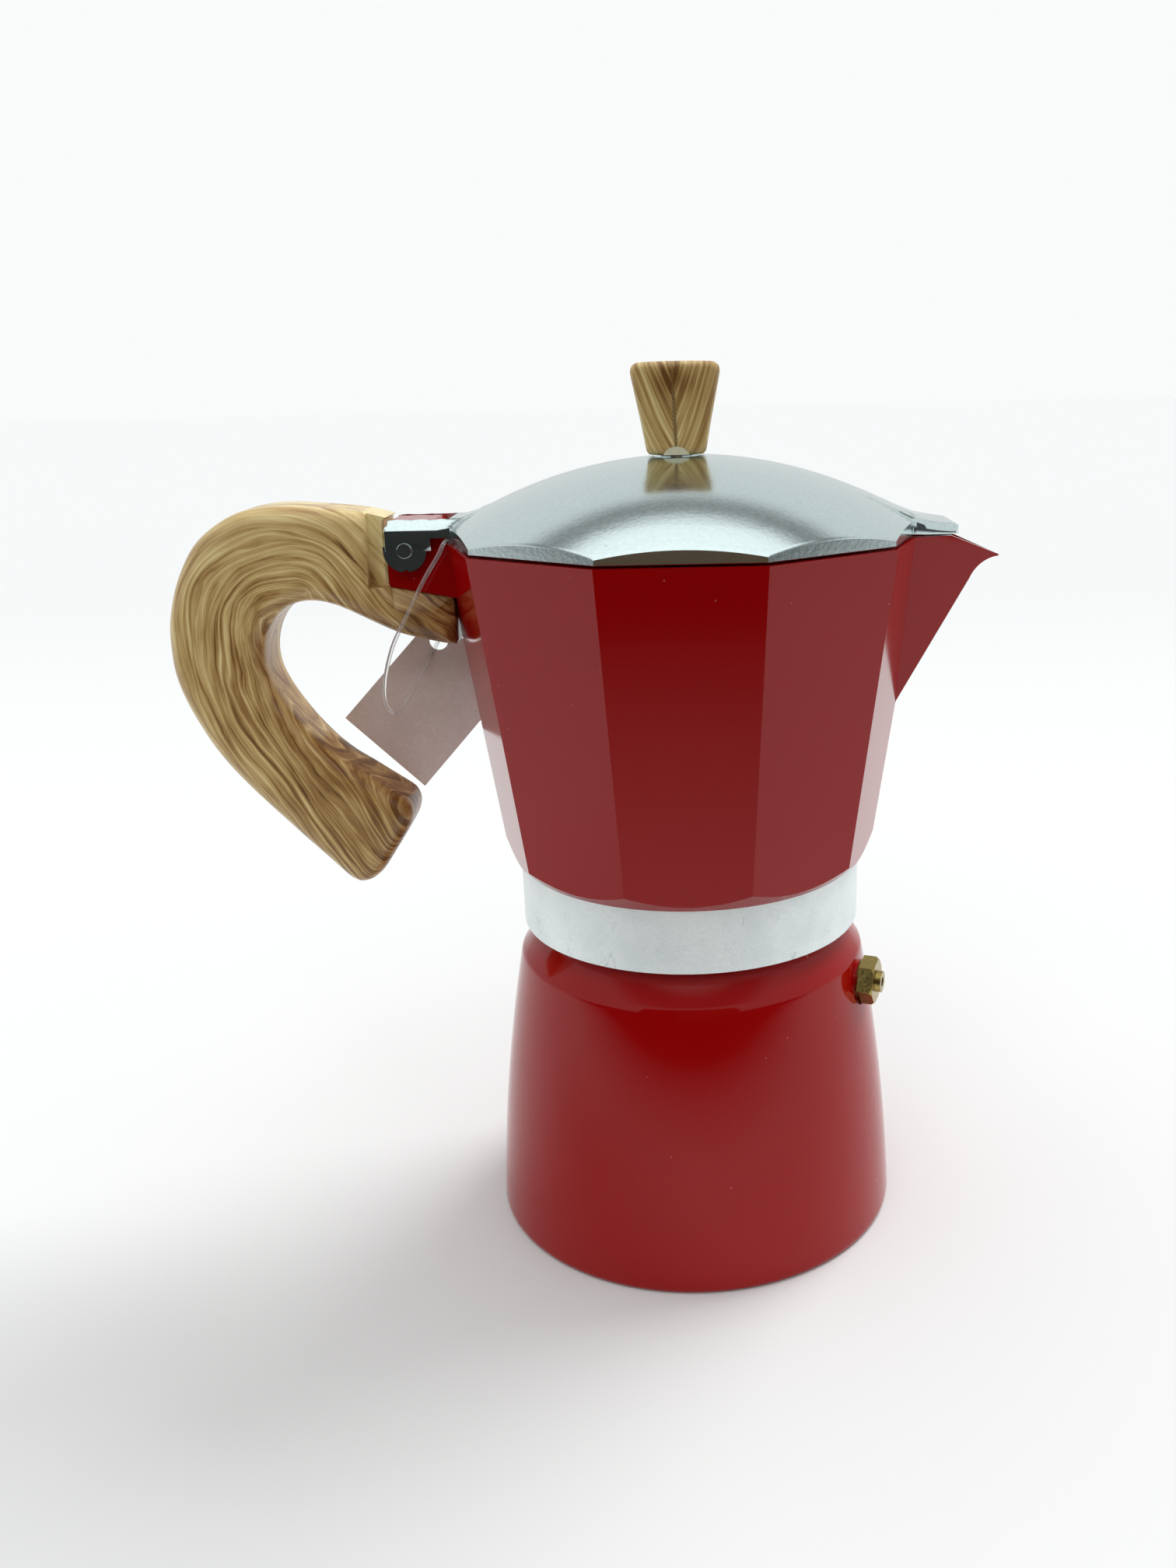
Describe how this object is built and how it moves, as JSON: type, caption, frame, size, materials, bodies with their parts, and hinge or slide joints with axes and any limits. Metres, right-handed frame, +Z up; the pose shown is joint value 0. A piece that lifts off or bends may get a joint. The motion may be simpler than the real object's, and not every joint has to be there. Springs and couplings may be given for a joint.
{
  "type": "moka pot",
  "caption": "Stovetop moka pot with enamelled boiler and flat-sided jug, hinged aluminium lid, safety valve, funnel and filter, wood-grain handle and knob, and a blank hang tag.",
  "frame": {"origin": "centre of the boiler's underside, on the plane the pot stands on", "axes": "+Z is up, +X points to the spout and -X to the handle, and -Y is the side seen with the handle on the left"},
  "size_m": [0.1859, 0.1028, 0.1996],
  "materials": {
    "red_enamel": "glossy dark red enamel on cast aluminium",
    "polished_aluminium": "polished and lightly brushed",
    "satin_aluminium": "satin, machined",
    "brass": "turned and milled",
    "steel": "plain zinc-plated",
    "silicone": "soft, off-white",
    "wood_grain_plastic": "printed wood grain, satin gloss",
    "cream_plastic": "plain cream",
    "card": "plain pale card, blank",
    "clear_nylon": "clear nylon line"
  },
  "bodies": {
    "base": {"boiler": "red_enamel", "valve_body": "brass", "valve_seat": "brass", "valve_spring": "steel"},
    "plunger": {"valve_plunger": "steel"},
    "filter_funnel": {"funnel": "satin_aluminium", "funnel_screen": "satin_aluminium"},
    "seals": {"gasket": "silicone", "filter_plate": "satin_aluminium"},
    "jug": {"collector": "red_enamel", "column_cap": "satin_aluminium", "hinge_pin": "polished_aluminium", "handle": "wood_grain_plastic", "handle_washer": "steel", "handle_screw": "steel", "tag": "card", "tag_loop": "clear_nylon"},
    "cover": {"lid": "polished_aluminium", "knob": "wood_grain_plastic", "knob_insert": "cream_plastic", "knob_screw": "steel"}
  },
  "joints": [
    {"name": "valve_push", "type": "slide", "parent": "base", "child": "plunger", "axis": [0.9397, -0.342, 0], "range_m": [0, 0.0015], "stiffness_N_per_m": 600, "springref_m": -0.0005},
    {"name": "funnel_lift", "type": "slide", "parent": "base", "child": "filter_funnel", "axis": [0, 0, 1], "range_m": [0, 0.08]},
    {"name": "jug_lift", "type": "slide", "parent": "base", "child": "seals", "axis": [0, 0, 1], "range_m": [0, 0.16]},
    {"name": "jug_turn", "type": "hinge", "parent": "seals", "child": "jug", "pos_m": [0, 0, 0.088], "axis": [0, 0, 1], "range_deg": [0, 540]},
    {"name": "lid_hinge", "type": "hinge", "parent": "jug", "child": "cover", "pos_m": [-0.0608, 0, 0.161], "axis": [0, -1, 0], "range_deg": [0, 95]}
  ],
  "couplings": [
    {"joint": "funnel_lift", "follows": "jug_lift", "ratio": 0.5}
  ]
}
